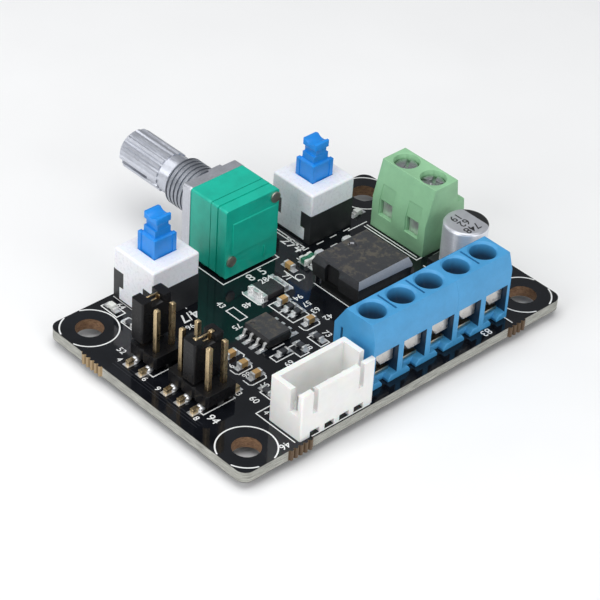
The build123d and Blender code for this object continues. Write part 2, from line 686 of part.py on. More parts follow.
def capacitor_can():
    """Drawn can with a rolled rim and a waist above the base."""
    can = round_post(CAN_X, CAN_Y, CAN_BASE_TOP, CAN_TOP, CAN_RADIUS)
    can = fillet(can.edges().sort_by(Axis.Z)[-1], 0.45)
    waist = round_post(CAN_X, CAN_Y, 3.3, 3.7, CAN_RADIUS + 1)
    return can - (waist - round_post(CAN_X, CAN_Y, 3, 4, CAN_RADIUS - 0.25))


def capacitor_base(leads):
    """Square plastic base with two cut corners."""
    h = CAN_BASE_HALF
    x = CAN_X
    y = CAN_Y
    points = [(x - h, y + h), (x - h, y - h + 1.2), (x - h + 1.2, y - h), (x + h - 1.2, y - h),
              (x + h, y - h + 1.2), (x + h, y + h)]
    base = prism_z(points, SEAT, CAN_BASE_TOP)
    for lead in leads:
        base -= lead
    return base


def capacitor_leads():
    """Flat leads under the base."""
    leads = []
    for side in (-1, 1):
        y0 = CAN_Y + side * 0.8
        y1 = CAN_Y + side * 3.9
        leads.append(block(CAN_X - 0.4, CAN_X + 0.4, y0, y1, SEAT, SEAT + 0.25))
    return leads


def regulator_body(frame):
    """Moulded body, bevelled above and below its parting line, with a side notch."""
    x0, x1 = REG_X
    y0, y1 = REG_Y
    middle = Pos((x0 + x1) / 2, (y0 + y1) / 2, REG_SPLIT)
    wide = Rectangle(x1 - x0, y1 - y0)
    upper = extrude(middle * wide, REG_TOP - REG_SPLIT, taper=22)
    lower = extrude(middle * wide, REG_SPLIT - SEAT - 1.2, dir=(0, 0, -1), taper=5)
    body = upper + lower
    for x in (x0, x1):
        notch = block(x - 0.7, x + 0.7, -0.3, 2.3, 0, REG_TOP - 0.25)
        body -= fillet(notch.edges().filter_by(Axis.X).sort_by(Axis.Z)[-2:], 0.6)
    body -= round_post(10.2, 2.95, REG_TOP - 0.3, REG_TOP + 1, 0.62)
    for piece in frame:
        body -= piece
    return body


def regulator_leadframe():
    """Two leads with wide shoulders, the cut middle stub and the heat tab."""
    pieces = []
    for x in REG_LEAD_X:
        bar = block(x - 0.65, x + 0.65, 3.6, 6.3, 4.3, 4.75)
        bar += block(x - 0.4, x + 0.4, 5.9, 6.4, SEAT, 4.75)
        bar += block(x - 0.4, x + 0.4, 5.9, 7.2, SEAT, SEAT + 0.45)
        pieces.append(bar)
    pieces.append(block(REG_STUB_X - 0.6, REG_STUB_X + 0.6, 3.6, 5.9, 4.3, 4.75))
    pieces.append(block(REG_X[0] + 0.2, REG_X[1] - 0.2, -5.4, 3.0, SEAT, SEAT + 1.27))
    return pieces


def ic_body(leads):
    """Small-outline body bevelled above and below the leads."""
    middle = Pos(IC_X, IC_Y, 2.5)
    wide = Rectangle(2 * IC_HALF_X, 2 * IC_HALF_Y)
    body = extrude(middle * wide, IC_TOP - 2.5, taper=10)
    body += extrude(middle * wide, 2.5 - 1.8, dir=(0, 0, -1), taper=8)
    body -= round_post(IC_X - 1.2, IC_Y + 1.6, IC_TOP - 0.12, IC_TOP + 1, 0.35)
    for lead in leads:
        body -= lead
    return body


def ic_leads():
    """Eight gull-wing leads."""
    leads = []
    half = 0.2
    for y in IC_LEAD_Y:
        for side in (-1, 1):
            inner = IC_X + side * 1.6
            knee = IC_X + side * 2.25
            heel = IC_X + side * 2.5
            toe = IC_X + side * 3.05
            points = [(inner, 2.6), (knee, 2.6), (heel, SEAT + 0.22), (toe, SEAT + 0.22), (toe, SEAT),
                      (heel - side * 0.12, SEAT), (knee - side * 0.12, 2.38), (inner, 2.38)]
            leads.append(prism_y(points, y - half, y + half))
    return leads


def fuse_body():
    """Flat polymer body between the end bars."""
    return block(FUSE_X[0] + 0.75, FUSE_X[1] - 0.75, FUSE_Y[0], FUSE_Y[1], SEAT, FUSE_TOP - 0.05)


def fuse_terminals():
    """End bars with two half-round notches each."""
    ends = []
    middle = sum(FUSE_Y) / 2
    for x, inward in ((FUSE_X[0], 1), (FUSE_X[1], -1)):
        bar = block(x, x + inward * 0.75, FUSE_Y[0], FUSE_Y[1], SEAT, FUSE_TOP)
        for dy in (-0.9, 0.9):
            bar -= round_post(x, middle + dy, 0, 5, 0.4)
        ends.append(bar)
    return ends


def chip_bodies(places, height):
    """Ceramic middles of the chip parts."""
    bodies = []
    half = CHIP_LENGTH / 2 - CHIP_CAP_LENGTH
    for x, y, along_x in places:
        hx = half if along_x else CHIP_WIDTH / 2
        hy = CHIP_WIDTH / 2 if along_x else half
        bodies.append(block(x - hx, x + hx, y - hy, y + hy, SEAT, SEAT + height))
    return bodies


def green_led():
    """Larger light: white ends with a lower green middle."""
    x0, x1, y0, y1 = GREEN_LED
    body = block(x0, x1, y0, y1, SEAT, SEAT + 0.75)
    middle = (x0 + x1) / 2
    half = GREEN_LED_STRIP / 2
    return body - block(middle - half, middle + half, y0 - 1, y1 + 1, SEAT + 0.65, SEAT + 2)


def chip_terminals():
    """Metal end caps of the chip parts."""
    caps = []
    groups = ((RESISTOR_PLACES, RESISTOR_HEIGHT), (CAPACITOR_PLACES, CAPACITOR_HEIGHT), (LED_PLACES, 0.35))
    for places, height in groups:
        for x, y, along_x in places:
            for side in (-1, 1):
                offset = side * (CHIP_LENGTH - CHIP_CAP_LENGTH) / 2
                cx = x + offset if along_x else x
                cy = y if along_x else y + offset
                hx = CHIP_CAP_LENGTH / 2 if along_x else CHIP_WIDTH / 2
                hy = CHIP_WIDTH / 2 if along_x else CHIP_CAP_LENGTH / 2
                caps.append(block(cx - hx, cx + hx, cy - hy, cy + hy, SEAT, SEAT + height))
    return caps


def build_pot():
    """Potentiometer nodes."""
    pins = pot_pins()
    rivets = pot_rivets()
    shaft = pot_shaft()
    save("pot_pins", pins)
    save("pot_rivets", rivets)
    save("pot_shaft", shaft)
    save("pot_wipers", pot_wipers(shaft))
    save("pot_rear_housing", pot_rear_housing(pins, rivets))
    save("pot_front_housing", pot_front_housing(pins, rivets))
    save("pot_front_plate", pot_front_plate(rivets))
    save("pot_bushing", pot_bushing())


def build_switches():
    """Nodes of both push switches."""
    pins = switch_pins()
    save("switch_pins", pins)
    for number, (x, y, lift) in enumerate(SWITCH_PLACES, 1):
        frame = switch_frame(x, y)
        save(f"switch_frame_{number}", frame)
        save(f"switch_base_{number}", switch_base(x, y, frame, pins))
        save(f"switch_plunger_{number}", switch_plunger(x, y, lift))
        save(f"switch_spring_{number}", switch_spring(x, y))


def build_terminals():
    """Nodes of the green and blue screw terminals."""
    save("green_terminal_housing", green_housing())
    save("green_terminal_contacts", green_contacts())
    for number, y in enumerate(GREEN_WAYS, 1):
        save(f"green_clamp_{number}", green_clamp(y))
        save(f"green_screw_{number}", screw(GREEN_SCREW_X, y, 6.25, 10.0, 11.35, number == 1))
    save("blue_terminal_housing_3way", blue_housing(0, 3))
    save("blue_terminal_housing_2way", blue_housing(3, 2))
    save("blue_terminal_contacts", blue_contacts())
    for way in range(5):
        save(f"blue_clamp_{way + 1}", blue_clamp(way))
        save(f"blue_screw_{way + 1}", screw(blue_way_x(way), BLUE_SCREW_Y, 4.4, 7.4, 8.4, False))


def build_headers():
    """Nodes of the white header, the pin headers and their jumper caps."""
    pins = white_pins()
    save("white_header_pins", pins)
    save("white_header_housing", white_housing(pins))
    pins = header_pins()
    save("pin_header_pins", pins)
    save("pin_header_base_2x2", header_base(HEADER_A_X, HEADER_A_ROWS, pins))
    save("pin_header_base_2x3", header_base(HEADER_B_X, HEADER_B_ROWS, pins))
    for number, (x, y, bottom, top) in enumerate(CAP_PLACES, 1):
        clip = jumper_clip(x, y, top)
        save(f"jumper_clip_{number}", clip)
        save(f"jumper_cap_{number}", jumper_cap(x, y, bottom, top, clip, number == 1))


def build_chips():
    """Nodes of the surface-mounted parts."""
    leads = capacitor_leads()
    save("capacitor_can", capacitor_can())
    save("capacitor_base", capacitor_base(leads))
    save("capacitor_leads", leads)
    frame = regulator_leadframe()
    save("regulator_leadframe", frame)
    save("regulator_body", regulator_body(frame))
    leads = ic_leads()
    save("ic_leads", leads)
    save("ic_body", ic_body(leads))
    save("fuse_body", fuse_body())
    save("fuse_terminals", fuse_terminals())
    save("chip_resistors", chip_bodies(RESISTOR_PLACES, RESISTOR_HEIGHT - 0.03))
    save("chip_capacitors", chip_bodies(CAPACITOR_PLACES, CAPACITOR_HEIGHT - 0.03))
    save("chip_leds", chip_bodies(LED_PLACES, LED_HEIGHT) + [green_led()])
    save("chip_terminals", chip_terminals())


os.makedirs("parts", exist_ok=True)
save("pcb", pcb())
save("solder_joints", solder_joints() + surface_pads())
build_pot()
build_switches()
build_terminals()
build_headers()
build_chips()
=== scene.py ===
import math

import bmesh
import bpy
from mathutils import Matrix, Vector


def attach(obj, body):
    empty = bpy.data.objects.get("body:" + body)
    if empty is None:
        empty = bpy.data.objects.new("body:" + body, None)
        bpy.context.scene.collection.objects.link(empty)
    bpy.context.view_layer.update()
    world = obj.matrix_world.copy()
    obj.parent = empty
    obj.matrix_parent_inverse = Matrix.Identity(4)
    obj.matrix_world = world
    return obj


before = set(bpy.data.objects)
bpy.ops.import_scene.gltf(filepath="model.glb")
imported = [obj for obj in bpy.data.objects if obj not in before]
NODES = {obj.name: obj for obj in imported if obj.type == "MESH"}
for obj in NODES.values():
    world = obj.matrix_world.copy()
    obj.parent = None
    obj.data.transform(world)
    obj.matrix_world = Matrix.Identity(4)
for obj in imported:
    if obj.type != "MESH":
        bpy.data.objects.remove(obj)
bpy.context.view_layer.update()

MM = 0.001

# Places and sizes in millimetres, in the frame of the CAD model.
TOP = 1.6 * MM
HOLE_X = 24.765
HOLE_Y = 15.24
HOLE_WALL_REACH = 2.2
EDGE_MIDDLE_Z = 0.8
EDGE_RIM_Z = 0.74
TORN_FRONT_Y = -18.9
TORN_LEFT_X = -28.4
TORN_FRONT = ((-19.2, 2.1), (19.6, 1.7))
TORN_LEFT = (10.0, 2.1)
TORN_WAVE = 7.85
TRACE_PER_MM = 2.2
TRACE_HALF = 0.13
TRACE_X = (-26.75, 0.7)
TRACE_Y = (-0.4, 8.2)
# Region of the wire mouths whose inner side walls get painted shade.
MOUTH_X = (-5.4, 19.3)
MOUTH_Y = (-17.12, -10.7)
MOUTH_Z = (2.62, 8.4)
BLUE_START_X = -5.52
BLUE_PITCH = 5.0
BLUE_SCREW_Y = -13.97
# Screw wells that get painted shade, and the heights over which that shade deepens.
WELL_RADIUS = 1.86
WELL_SHADE_Z = (11.4, 9.6)
CAN_TOP_Z = 9.05
CAN_BAND_X = 24.35
LED_STRIP_Y = (8.35, 0.36)
LED_STRIP_X = (7.45, 1.4)
# Footprint of the regulator package; the lead frame under it gets painted shade.
PACKAGE_X = (9.62, 5.2)
PACKAGE_Y = (0.35, 4.7)


# ---------------------------------------------------------------- materials
class Graph:
    """Small helper that adds and links the nodes of one material."""

    def __init__(self, name):
        self.material = bpy.data.materials.new(name)
        self.material.use_nodes = True
        self.tree = self.material.node_tree
        self.shader = self.tree.nodes["Principled BSDF"]
        self.coords = self.tree.nodes.new("ShaderNodeTexCoord")

    def new(self, kind, **inputs):
        node = self.tree.nodes.new("ShaderNode" + kind)
        for key, value in inputs.items():
            self.put(node, key, value)
        return node

    def put(self, node, key, value):
        """Sets or links an input given by name or, after an underscore, by number."""
        by_number = key[0] == "_" and key[1:].isdigit()
        socket = node.inputs[int(key[1:])] if by_number else node.inputs[key.replace("_", " ")]
        if isinstance(value, bpy.types.NodeSocket):
            self.tree.links.new(value, socket)
        else:
            socket.default_value = value

    def maths(self, operation, a, b=0.0, c=0.0):
        """Adds a maths node over the given values."""
        node = self.new("Math", _0=a, _1=b, _2=c)
        node.operation = operation
        return node.outputs[0]

    def above(self, value, limit):
        """One where a value is over a limit, else zero."""
        return self.maths("GREATER_THAN", value, limit)

    def below(self, value, limit):
        """One where a value is under a limit, else zero."""
        return self.maths("LESS_THAN", value, limit)

    def size(self, value):
        """Value without its sign."""
        return self.maths("ABSOLUTE", value)

    def within(self, value, low, high):
        """One where a value lies between two limits, else zero."""
        return self.both(self.above(value, low), self.below(value, high))

    def near(self, value, centre, half):
        """One where a value is less than half away from a centre, else zero."""
        return self.below(self.size(self.maths("SUBTRACT", value, centre)), half)

    def both(self, first, *others):
        """One where every mask is one."""
        for other in others:
            first = self.maths("MULTIPLY", first, other)
        return first

    def distance(self, dx, dy):
        """Length of a step in x and y."""
        squares = self.maths("ADD", self.maths("MULTIPLY", dx, dx), self.maths("MULTIPLY", dy, dy))
        return self.maths("SQRT", squares)

    def place(self, stretch=(1, 1, 1)):
        """Object coordinates in millimetres, stretched along each axis."""
        node = self.new("Mapping", Vector=self.coords.outputs["Object"])
        node.inputs["Scale"].default_value = [1000 * s for s in stretch]
        return node.outputs[0]

    def position(self):
        """Place on the object in millimetres, as x, y and z."""
        return self.new("SeparateXYZ", Vector=self.place()).outputs

    def normal(self):
        """Way the surface faces, as x, y and z."""
        return self.new("SeparateXYZ", Vector=self.coords.outputs["Normal"]).outputs

    def noise(self, scale, detail=4.0, rough=0.6, stretch=(1, 1, 1)):
        node = self.new("TexNoise", Vector=self.place(stretch), Scale=scale, Detail=detail, Roughness=rough)
        return node.outputs["Fac"]

    def ramp(self, value, low, high, to_low=0.0, to_high=1.0):
        node = self.new("MapRange", Value=value)
        for index, amount in ((1, low), (2, high), (3, to_low), (4, to_high)):
            node.inputs[index].default_value = amount
        return node.outputs[0]

    def mix(self, factor, a, b):
        """Blends two colours by a factor."""
        node = self.tree.nodes.new("ShaderNodeMix")
        node.data_type = "RGBA"
        for index, value in ((0, factor), (6, a), (7, b)):
            if isinstance(value, bpy.types.NodeSocket):
                self.tree.links.new(value, node.inputs[index])
            elif index == 0:
                node.inputs[index].default_value = value
            else:
                node.inputs[index].default_value = (*value[:3], 1)
        return node.outputs[2]

    def colour(self, value):
        """Sets the base colour."""
        if isinstance(value, bpy.types.NodeSocket):
            self.tree.links.new(value, self.shader.inputs["Base Color"])
        else:
            self.shader.inputs["Base Color"].default_value = (*value, 1)

    def set(self, **inputs):
        for key, value in inputs.items():
            self.put(self.shader, key, value)

    def bump(self, height, depth_mm, strength=1.0):
        node = self.new("Bump", Height=height, Strength=strength, Distance=depth_mm * MM)
        self.tree.links.new(node.outputs[0], self.shader.inputs["Normal"])


def shade(colour, factor):
    """Colour made darker or lighter by a factor."""
    return tuple(min(1.0, channel * factor) for channel in colour)


def plastic(name, colour, rough=0.4, grain=2.5, bump=0.012, spread=0.12, subsurface=0.0):
    """Moulded plastic: faint flow mottling, fine grain and uneven gloss."""
    g = Graph(name)
    broad = g.noise(0.35, 3)
    fine = g.noise(grain, 5, 0.65)
    tone = g.mix(g.ramp(broad, 0.35, 0.65), shade(colour, 1 - spread), shade(colour, 1 + spread))
    g.colour(g.mix(g.ramp(fine, 0.5, 0.8, 0, 0.25), tone, shade(colour, 1 - 2 * spread)))
    g.set(Roughness=g.ramp(fine, 0.3, 0.7, rough - 0.06, rough + 0.08))
    g.bump(fine, bump)
    if subsurface:
        g.shader.inputs["Subsurface Weight"].default_value = subsurface
        g.shader.inputs["Subsurface Scale"].default_value = 0.6 * MM
    return g.material


def shaded_plastic(name, colour):
    """Moulded plastic with painted shade on the inner walls of the wire mouths and down the screw wells."""
    g = Graph(name)
    x, y, z = g.position()
    fine = g.noise(3.0, 5, 0.65)
    tone = g.mix(g.ramp(g.noise(0.35, 3), 0.35, 0.65), shade(colour, 0.94), shade(colour, 1.06))
    tone = g.mix(g.ramp(fine, 0.5, 0.8, 0, 0.25), tone, shade(colour, 0.88))
    side = g.above(g.size(g.normal()[0]), 0.8)
    mouth_shade_region = g.both(g.within(y, *MOUTH_Y), g.within(z, *MOUTH_Z), g.within(x, *MOUTH_X))
    # Painted shade: the inner side walls of the wire mouths are coloured dark navy.
    tone = g.mix(g.both(side, mouth_shade_region), tone, (0.010, 0.035, 0.075))
    # Painted shade: dark blue down inside the screw wells, darker towards the bottom.
    ways = g.maths("FRACT", g.maths("DIVIDE", g.maths("SUBTRACT", x, BLUE_START_X), BLUE_PITCH))
    across = g.maths("MULTIPLY", g.maths("SUBTRACT", ways, 0.5), BLUE_PITCH)
    along = g.maths("SUBTRACT", y, BLUE_SCREW_Y)
    well_shade = g.both(g.below(g.distance(across, along), WELL_RADIUS), g.ramp(z, *WELL_SHADE_Z))
    g.colour(g.mix(well_shade, tone, (0.014, 0.07, 0.15)))
    g.set(Roughness=g.ramp(fine, 0.3, 0.7, 0.36, 0.5))
    g.bump(fine, 0.010)
    return g.material


def metal(name, colour, rough=0.28, stretch=(1, 1, 1), grain=3.0, bump=0.006, spread=0.15, metallic=1.0):
    """Plated or drawn metal: streaked tone and roughness."""
    g = Graph(name)
    streak = g.noise(grain, 6, 0.7, stretch)
    broad = g.noise(0.5, 2)
    tone = g.mix(g.ramp(streak, 0.3, 0.7), shade(colour, 1 - spread), shade(colour, 1 + spread * 0.6))
    g.colour(g.mix(g.ramp(broad, 0.45, 0.75, 0, 0.35), tone, shade(colour, 0.75)))
    g.set(Roughness=g.ramp(streak, 0.3, 0.7, rough - 0.07, rough + 0.1))
    g.shader.inputs["Metallic"].default_value = metallic
    g.bump(streak, bump)
    return g.material


def board_material():
    """Black solder mask on the faces, laminate at the edges, brown hole walls, torn tabs."""
    g = Graph("solder_mask_board")
    x, y, z = g.position()
    face = g.above(g.size(g.normal()[2]), 0.5)
    g.colour(g.mix(face, board_edge(g, x, y, z), board_mask(g, x, y)))
    g.set(Roughness=g.maths("ADD", g.ramp(face, 0, 1, 0.62, 0.07), g.ramp(g.noise(2, 3), 0.4, 0.8, 0, 0.05)))
    g.shader.inputs["IOR"].default_value = 1.5
    g.bump(g.noise(0.6, 3), 0.01, 0.5)
    return g.material


def board_edge(g, x, y, z):
    """Layered laminate, with brown hole walls and brassy torn tabs."""
    layer = g.noise(1.2, 4, 0.6, (0.35, 0.35, 6))
    weave = g.noise(2.2, 5, 0.7, (1, 1, 3))
    edge = g.mix(g.ramp(layer, 0.35, 0.65), (0.20, 0.20, 0.18), (0.50, 0.50, 0.45))
    edge = g.mix(g.ramp(weave, 0.5, 0.75, 0, 0.6), edge, (0.1, 0.098, 0.085))
    rim = g.above(g.size(g.maths("SUBTRACT", z, EDGE_MIDDLE_Z)), EDGE_RIM_Z)
    edge = g.mix(rim, edge, (0.02, 0.02, 0.02))
    front_tabs = g.maths("MAXIMUM", *[g.near(x, *tab) for tab in TORN_FRONT])
    torn_front = g.both(g.below(y, TORN_FRONT_Y), front_tabs)
    torn_left = g.both(g.below(x, TORN_LEFT_X), g.near(y, *TORN_LEFT))
    stripe = g.ramp(g.maths("SINE", g.maths("MULTIPLY", g.maths("ADD", x, y), TORN_WAVE)), -0.3, 0.5)
    brass = g.mix(stripe, (0.10, 0.06, 0.03), (0.36, 0.26, 0.14))
    edge = g.mix(g.maths("MAXIMUM", torn_front, torn_left), edge, brass)
    dx = g.maths("SUBTRACT", g.size(x), HOLE_X)
    dy = g.maths("SUBTRACT", g.size(y), HOLE_Y)
    brown = g.mix(g.ramp(weave, 0.35, 0.7), (0.10, 0.045, 0.02), (0.32, 0.19, 0.10))
    return g.mix(g.below(g.distance(dx, dy), HOLE_WALL_REACH), edge, brown)


def board_mask(g, x, y):
    """Near-black mask with faint copper traces along the left edge."""
    mask = g.mix(g.ramp(g.noise(0.25, 2), 0.35, 0.65), (0.0035, 0.0042, 0.006), (0.007, 0.008, 0.011))
    lane = g.near(g.maths("FRACT", g.maths("MULTIPLY", x, TRACE_PER_MM)), 0.5, TRACE_HALF)
    trace = g.both(lane, g.near(x, *TRACE_X), g.near(y, *TRACE_Y))
    return g.mix(trace, mask, (0.02, 0.022, 0.026))


def wire_tone(name, colour, rough):
    return metal(name, colour, rough, (1, 1, 0.25), 4.0)


def can_material():
    """Satin can with a printed black segment on its top."""
    g = Graph("capacitor_can_print")
    x, _, z = g.position()
    top = g.above(z, CAN_TOP_Z)
    band = g.both(top, g.above(x, CAN_BAND_X))
    streak = g.noise(3.0, 5, 0.7, (0.3, 0.3, 2.5))
    tin = g.mix(g.ramp(streak, 0.3, 0.7), (0.74, 0.75, 0.80), (0.90, 0.91, 0.95))
    tin = g.mix(g.maths("MULTIPLY", top, 0.45), tin, (0.30, 0.31, 0.34))
    g.colour(g.mix(band, tin, (0.012, 0.012, 0.013)))
    g.set(Roughness=g.ramp(streak, 0.3, 0.7, 0.3, 0.42))
    g.set(Metallic=g.ramp(band, 0, 1, 0.6, 0.0))
    g.bump(streak, 0.004)
    return g.material


def moulding_compound(name, base, mark, bevel=None):
    """Dark package with speckle, faint brownish marking, painted shade on its steep sides and an optional
    painted highlight on the front bevel.
    """
    g = Graph(name)
    speckle = g.noise(5.0, 6, 0.75)
    broad = g.noise(0.9, 4, 0.7)
    _, normal_y, normal_z = g.normal()
    up = g.above(normal_z, 0.9)
    tone = g.mix(g.ramp(speckle, 0.35, 0.7), shade(base, 0.7), shade(base, 1.4))
    worn = g.both(up, g.ramp(broad, 0.5, 0.62, 0, 0.55))
    tone = g.mix(worn, tone, mark)
    # Painted shade: steep and downward-facing sides are darkened to a fifth of the base colour.
    steep = 0.12
    tone = g.mix(g.below(normal_z, steep), tone, shade(base, 0.2))
    # Painted highlight: the front-facing bevel is coloured pale grey as if lit.
    if bevel:
        lit_front_slope = g.both(g.below(normal_y, -0.4), g.above(normal_z, steep))
        tone = g.mix(lit_front_slope, tone, g.mix(g.ramp(speckle, 0.35, 0.7), shade(bevel, 0.8), bevel))
    g.colour(tone)
    g.set(Roughness=g.ramp(speckle, 0.3, 0.7, 0.5, 0.7))
    g.bump(speckle, 0.02)
    return g.material


def led_material():
    """Milky diode bodies; the one beside the regulator has a green middle."""
    g = Graph("led_milky")
    x, y, _ = g.position()
    grain = g.noise(3.0, 4)
    milky = g.mix(g.ramp(grain, 0.35, 0.7), (0.70, 0.72, 0.68), (0.80, 0.81, 0.78))
    middle = g.both(g.near(y, *LED_STRIP_Y), g.near(x, *LED_STRIP_X))
    green = g.mix(g.ramp(grain, 0.35, 0.7), (0.02, 0.13, 0.08), (0.05, 0.22, 0.13))
    g.colour(g.mix(middle, milky, green))
    g.set(Roughness=g.ramp(grain, 0.3, 0.7, 0.25, 0.4))
    g.bump(grain, 0.006)
    return g.material


def frame_metal():
    """Tinned lead frame of the regulator, with painted shade (near black) where it lies under the package."""
    g = Graph("regulator_frame_metal")
    x, y, _ = g.position()
    streak = g.noise(4.0, 6, 0.7, (1, 1, 0.25))
    tin = g.mix(g.ramp(streak, 0.3, 0.7), (0.74, 0.74, 0.73), (0.90, 0.90, 0.89))
    # Painted shade: the lead frame under the package is coloured near black.
    under = g.both(g.near(x, *PACKAGE_X), g.near(y, *PACKAGE_Y))
    g.colour(g.mix(under, tin, (0.012, 0.012, 0.012)))
    g.set(Roughness=g.ramp(streak, 0.3, 0.7, 0.27, 0.44))
    g.shader.inputs["Metallic"].default_value = 0.6
    g.bump(streak, 0.006)
    return g.material


M = {
    "board": board_material(),
    "silk": plastic("silkscreen_white", (0.78, 0.79, 0.78), 0.6, 6.0, 0.004, 0.06),
    "ink": plastic("marking_grey", (0.02, 0.02, 0.022), 0.5, 6.0, 0.004, 0.1),
    "solder": metal("tin_solder", (0.84, 0.85, 0.86), 0.32, grain=1.6, bump=0.008, metallic=0.8),
    "pot_green": plastic("pot_green", (0.004, 0.43, 0.31), 0.36, 3.0, 0.012, 0.08),
    "cast": metal("die_cast_grey", (0.40, 0.42, 0.46), 0.45, grain=4.0, bump=0.012),
    "plate": metal("rolled_plate_grey", (0.62, 0.63, 0.68), 0.42, grain=4.0, bump=0.008, metallic=0.85),
    "shaft": metal("machined_shaft", (0.60, 0.62, 0.68), 0.38, (1, 0.3, 1), 4.0, metallic=0.8),
    "rivet": metal("rivet_metal", (0.50, 0.47, 0.40), 0.4),
    "lead": metal("tinned_lead", (0.88, 0.88, 0.87), 0.34, (1, 1, 0.25), 4.0, metallic=0.75),
    "contact": wire_tone("plated_contact", (0.62, 0.55, 0.42), 0.3),
    "gold": wire_tone("gold_pin", (0.70, 0.54, 0.32), 0.28),
    "clamp": metal("tin_clamp", (0.76, 0.73, 0.69), 0.30, grain=2.0, bump=0.006),
    "header_black": plastic("header_black", (0.007, 0.007, 0.008), 0.30, 3.0, 0.008, 0.2),
    "switch_white": plastic("switch_white", (0.83, 0.84, 0.88), 0.28, 2.0, 0.003, 0.012, 0.15),
    "black": plastic("moulded_black", (0.018, 0.019, 0.021), 0.42, 3.0, 0.012, 0.2),
    "switch_blue": plastic("plunger_blue", (0.010, 0.24, 0.72), 0.36, 2.5, 0.008, 0.08),
    "spring": metal("spring_wire", (0.6, 0.6, 0.6), 0.25),
    "terminal_green": plastic("terminal_green", (0.27, 0.52, 0.30), 0.45, 3.0, 0.012, 0.06),
    "terminal_blue": shaded_plastic("terminal_blue", (0.06, 0.31, 0.60)),
    "steel": metal("zinc_steel", (0.60, 0.60, 0.62), 0.3, (2, 0.4, 1), 3.0),
    "nylon": plastic("nylon_white", (0.83, 0.83, 0.81), 0.38, 1.2, 0.006, 0.03, 0.25),
    "can": can_material(),
    "compound": moulding_compound("package_grey", (0.042, 0.042, 0.045), (0.12, 0.10, 0.07)),
    "frame_metal": frame_metal(),
    # The last colour, a pale grey, is a painted highlight on the regulator's front bevel.
    "regulator": moulding_compound(
        "regulator_grey", (0.034, 0.034, 0.038), (0.13, 0.11, 0.08), (0.55, 0.55, 0.58)),
    "resistor": plastic("resistor_glaze", (0.05, 0.052, 0.058), 0.22, 4.0, 0.008, 0.3),
    "tan": plastic("ceramic_tan", (0.46, 0.28, 0.11), 0.35, 4.0, 0.012, 0.2),
    "led": led_material(),
    "fuse": plastic("fuse_dark", (0.03, 0.028, 0.03), 0.3, 4.0, 0.012, 0.3),
    "wiper": plastic("wiper_brown", (0.1, 0.08, 0.06), 0.45),
}

HEADER_SHADER = M["header_black"].node_tree.nodes["Principled BSDF"]
HEADER_SHADER.inputs["Specular IOR Level"].default_value = 0.25

# Material of each node; a node that is not listed is steel.
FINISH = {
    "pcb": "board", "solder_joints": "solder", "pot_rear_housing": "pot_green",
    "pot_front_housing": "pot_green", "pot_front_plate": "plate", "pot_bushing": "cast",
    "pot_shaft": "shaft", "pot_wipers": "wiper", "pot_rivets": "rivet", "pot_pins": "lead",
    "switch_pins": "lead", "capacitor_leads": "lead", "ic_leads": "lead",
    "regulator_leadframe": "frame_metal", "fuse_terminals": "lead", "chip_terminals": "lead",
    "green_terminal_contacts": "lead", "blue_terminal_contacts": "contact", "pin_header_pins": "gold",
    "white_header_pins": "lead", "jumper_clip_1": "gold", "jumper_clip_2": "gold",
    "switch_frame_1": "switch_white", "switch_frame_2": "switch_white", "switch_base_1": "black",
    "switch_base_2": "black", "switch_plunger_1": "switch_blue", "switch_plunger_2": "switch_blue",
    "switch_spring_1": "spring", "switch_spring_2": "spring",
    "green_terminal_housing": "terminal_green", "blue_terminal_housing_2way": "terminal_blue",
    "blue_terminal_housing_3way": "terminal_blue", "white_header_housing": "nylon",
    "pin_header_base_2x2": "header_black", "pin_header_base_2x3": "header_black",
    "jumper_cap_1": "header_black", "jumper_cap_2": "header_black", "capacitor_base": "black",
    "capacitor_can": "can", "regulator_body": "regulator", "ic_body": "compound",
    "chip_resistors": "resistor", "chip_capacitors": "tan", "chip_leds": "led", "fuse_body": "fuse",
}
FINISH.update({f"blue_clamp_{way}": "clamp" for way in range(1, 6)})
WELD_MM = 0.0008
ROUND_ANGLE = 28
SPLIT_ANGLE = 32
EDGE_ROUND_MM = 0.06
# Edge rounds in millimetres where they differ from the usual one.
BEVEL_MM = {
    "pcb": 0.0, "solder_joints": 0.0, "switch_spring_1": 0.0, "switch_spring_2": 0.0, "pot_shaft": 0.04,
    "pot_bushing": 0.0, "chip_capacitors": 0.0, "ic_leads": 0.03, "pin_header_pins": 0.04,
    "white_header_pins": 0.04, "blue_terminal_housing_2way": 0.07, "blue_terminal_housing_3way": 0.07,
    "green_terminal_housing": 0.10, "white_header_housing": 0.10, "jumper_cap_1": 0.09,
    "jumper_cap_2": 0.09,
}


def dress(node):
    """Material, welded corners, and small edge rounds or split edges for a CAD node."""
    thing = NODES[node]
    thing.data.materials.clear()
    thing.data.materials.append(M[FINISH.get(node, "steel")])
    for polygon in thing.data.polygons:
        polygon.use_smooth = True
    weld = thing.modifiers.new("weld", "WELD")
    weld.merge_threshold = WELD_MM * MM
    width = BEVEL_MM.get(node, EDGE_ROUND_MM)
    if width:
        bevel = thing.modifiers.new("edge_round", "BEVEL")
        bevel.width = width * MM
        bevel.segments = 2
        bevel.limit_method = "ANGLE"
        bevel.angle_limit = math.radians(ROUND_ANGLE)
        normals = thing.modifiers.new("normals", "WEIGHTED_NORMAL")
        normals.keep_sharp = False
    else:
        split = thing.modifiers.new("split", "EDGE_SPLIT")
        split.split_angle = math.radians(SPLIT_ANGLE)


for node_name in NODES:
    dress(node_name)


# ---------------------------------------------------------------- pieces
def piece(name, bm, material):
    """One mesh object that rides on the board."""
    mesh = bpy.data.meshes.new(name)
    bm.to_mesh(mesh)
    bm.free()
    mesh.materials.append(material)
    thing = bpy.data.objects.new(name, mesh)
    bpy.context.scene.collection.objects.link(thing)
    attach(thing, "board")


SHARPEST_MITRE = 0.4


